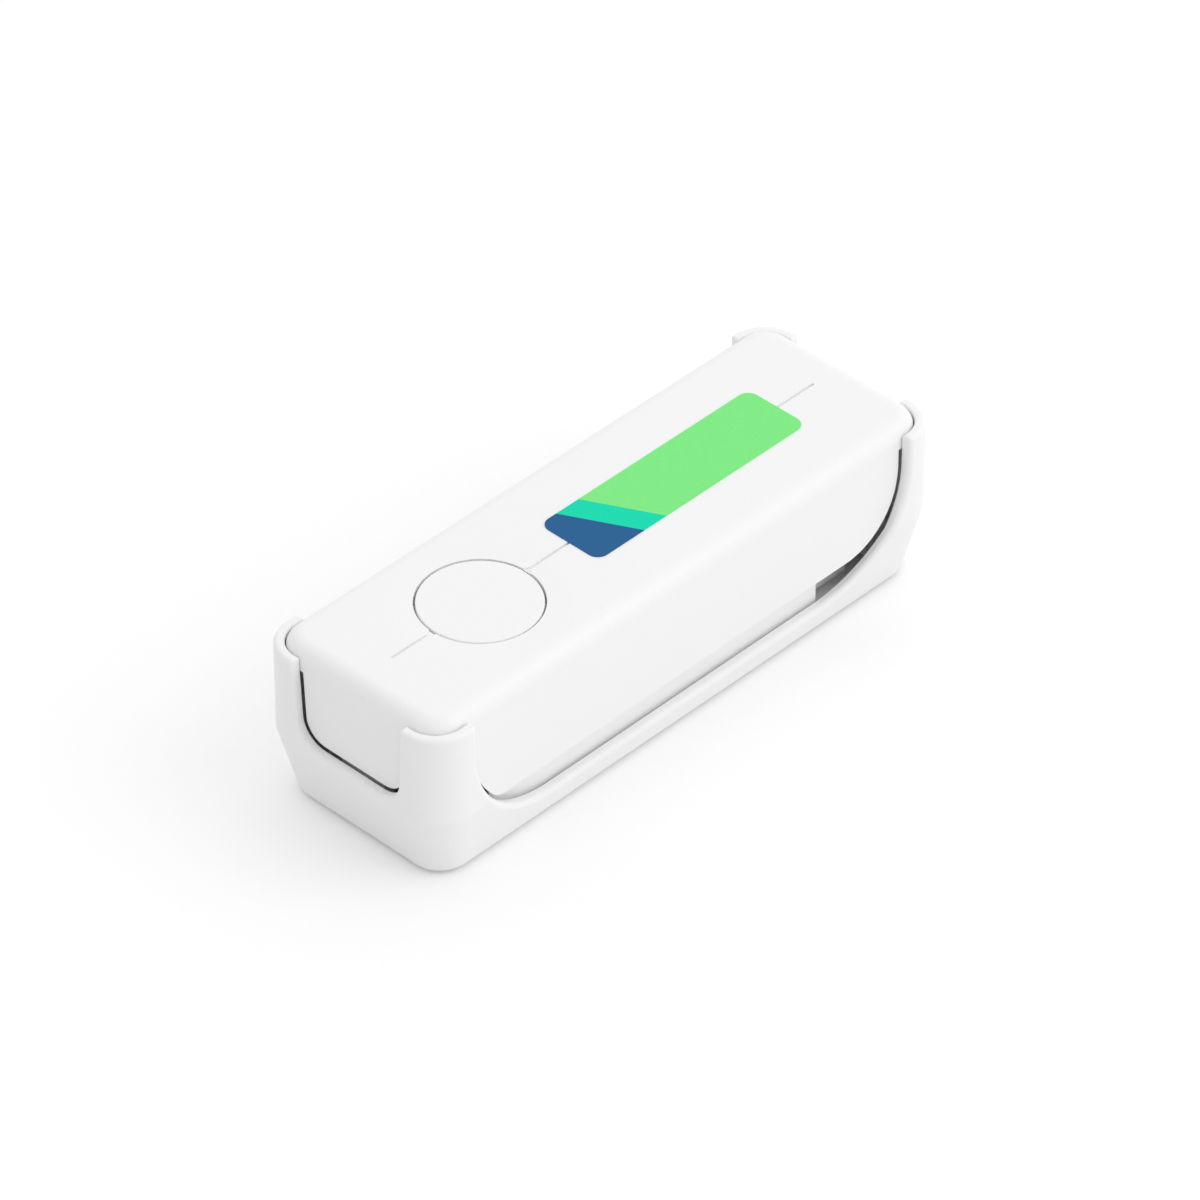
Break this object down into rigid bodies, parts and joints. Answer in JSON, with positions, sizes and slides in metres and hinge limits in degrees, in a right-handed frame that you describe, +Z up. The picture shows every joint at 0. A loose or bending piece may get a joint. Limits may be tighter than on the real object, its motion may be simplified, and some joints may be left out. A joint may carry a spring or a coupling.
{
  "type": "smart button",
  "caption": "Stick-shaped wireless smart button: white case with scooped openings, flush round push button, coloured label strip, and a cell, board and radio module inside.",
  "frame": {"origin": "centre of the device's footprint, on the surface that it stands on", "axes": "+Z up; +Y along the case, from the end with the push button to the end with the charging socket; +X across the case"},
  "size_m": [0.0336, 0.098, 0.0268],
  "materials": {
    "case_plastic": "matt",
    "cover_plastic": "satin",
    "button_plastic": "satin",
    "frame_plastic": "matt",
    "label": "satin",
    "rubber": "matt",
    "screw_steel": "satin",
    "board": "satin",
    "module_board": "satin",
    "shield_steel": "satin",
    "antenna_gold": "satin",
    "insulation": "satin",
    "switch_plastic": "matt",
    "spring_steel": "polished",
    "plunger_plastic": "satin",
    "lamp_resin": "gloss",
    "chip_resin": "matt",
    "capacitor_ceramic": "satin",
    "resistor_ceramic": "satin",
    "socket_steel": "satin",
    "socket_plastic": "matt",
    "contact_plating": "satin",
    "cell_steel": "satin",
    "cell_wrap": "gloss",
    "cell_seal": "matt"
  },
  "bodies": {
    "housing": {"lower_case": "case_plastic", "rubber_feet": "rubber", "upper_cover": "cover_plastic", "label_film": "label", "main_board": "board", "insulation_sheet": "insulation", "battery_frame": "frame_plastic", "frame_screws": "screw_steel", "battery_can": "cell_steel", "battery_seal_ring": "cell_seal", "battery_top_cap": "cell_steel", "battery_wrap": "cell_wrap", "positive_contact": "spring_steel", "negative_contact": "spring_steel", "negative_spring": "spring_steel", "wifi_module_board": "module_board", "wifi_module_shield": "shield_steel", "wifi_module_antenna": "antenna_gold", "tact_switch_base": "switch_plastic", "tact_switch_dome": "spring_steel", "tact_switch_plate": "shield_steel", "usb_socket_shell": "socket_steel", "usb_socket_tongue": "socket_plastic", "usb_socket_contacts": "contact_plating", "status_led": "lamp_resin", "charge_led": "lamp_resin", "charger_chip": "chip_resin", "regulator_chip": "chip_resin", "board_capacitors": "capacitor_ceramic", "board_resistors": "resistor_ceramic"},
    "button": {"button_cap": "button_plastic"},
    "plunger": {"tact_switch_plunger": "plunger_plastic"}
  },
  "joints": [
    {"name": "button_press", "type": "slide", "parent": "housing", "child": "button", "axis": [0, 0, -1], "range_m": [0, 0.0003], "stiffness_N_per_m": 5000, "deforming": ["tact_switch_dome"]},
    {"name": "plunger_travel", "type": "slide", "parent": "housing", "child": "plunger", "axis": [0, 0, -1], "range_m": [0, 0.0003]}
  ],
  "couplings": [
    {"joint": "plunger_travel", "follows": "button_press", "ratio": 1}
  ]
}
